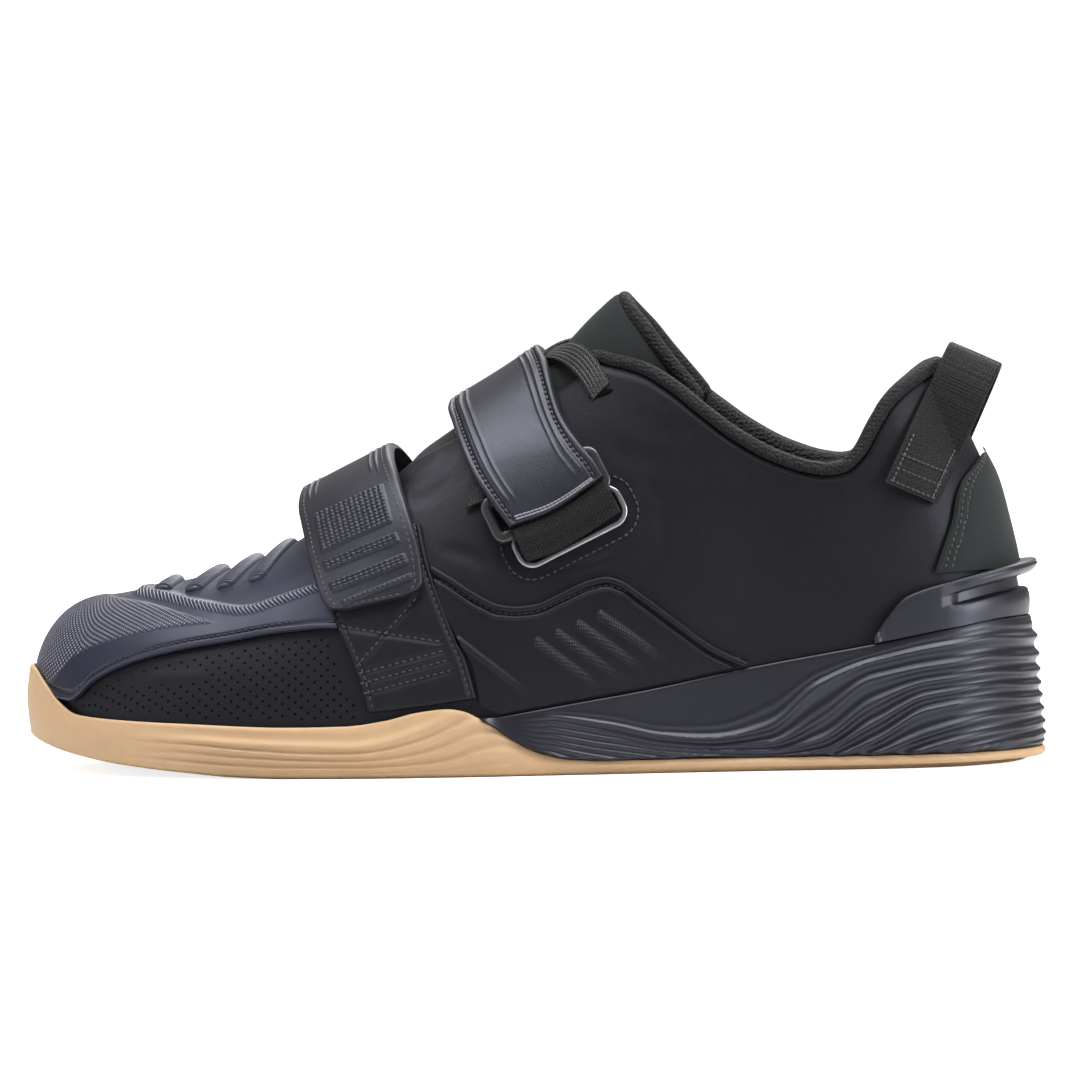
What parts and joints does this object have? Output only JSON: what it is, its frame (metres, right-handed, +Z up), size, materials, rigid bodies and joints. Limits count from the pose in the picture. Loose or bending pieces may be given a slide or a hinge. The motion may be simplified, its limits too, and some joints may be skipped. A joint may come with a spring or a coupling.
{
  "type": "weightlifting shoe",
  "caption": "Black leather weightlifting shoe for the left foot with two hook-and-loop straps, a raised heel wedge and a gum rubber outsole.",
  "frame": {"origin": "on the floor under the middle of the outsole, on the part's flat underside", "axes": "+X towards the heel, +Y towards the medial side of the foot, +Z up"},
  "size_m": [0.3002, 0.1071, 0.1397],
  "materials": {
    "gum_rubber": "matte translucent-looking gum rubber",
    "black_rubber": "satin black moulded rubber",
    "black_leather": "smooth satin black leather",
    "toe_film": "satin blue-black moulded film",
    "knit": "black knit",
    "nubuck": "dark green-grey nubuck",
    "webbing": "black woven tape",
    "dark_metal": "black satin coating",
    "bright_metal": "bright steel"
  },
  "bodies": {
    "root": {"collar_roll": "knit", "front_ring": "dark_metal", "front_slot_frame": "bright_metal", "front_strap": "black_leather", "front_strap_base": "black_leather", "front_webbing": "webbing", "heel_clip": "black_rubber", "heel_patch": "nubuck", "heel_wedge": "black_rubber", "insole": "knit", "instep_ring": "dark_metal", "instep_slot_frame": "bright_metal", "instep_strap": "black_leather", "instep_strap_base": "black_leather", "instep_webbing": "webbing", "lace_crossing_1": "webbing", "lace_crossing_2": "webbing", "lace_crossing_3": "webbing", "lace_crossing_4": "webbing", "outsole": "gum_rubber", "pull_loop": "webbing", "side_panel_lateral": "black_leather", "side_panel_medial": "black_leather", "toe_cap": "toe_film", "toe_rib_1": "toe_film", "toe_rib_2": "toe_film", "toe_rib_3": "toe_film", "toe_rib_4": "toe_film", "tongue": "nubuck", "upper": "black_leather"}
  },
  "joints": []
}
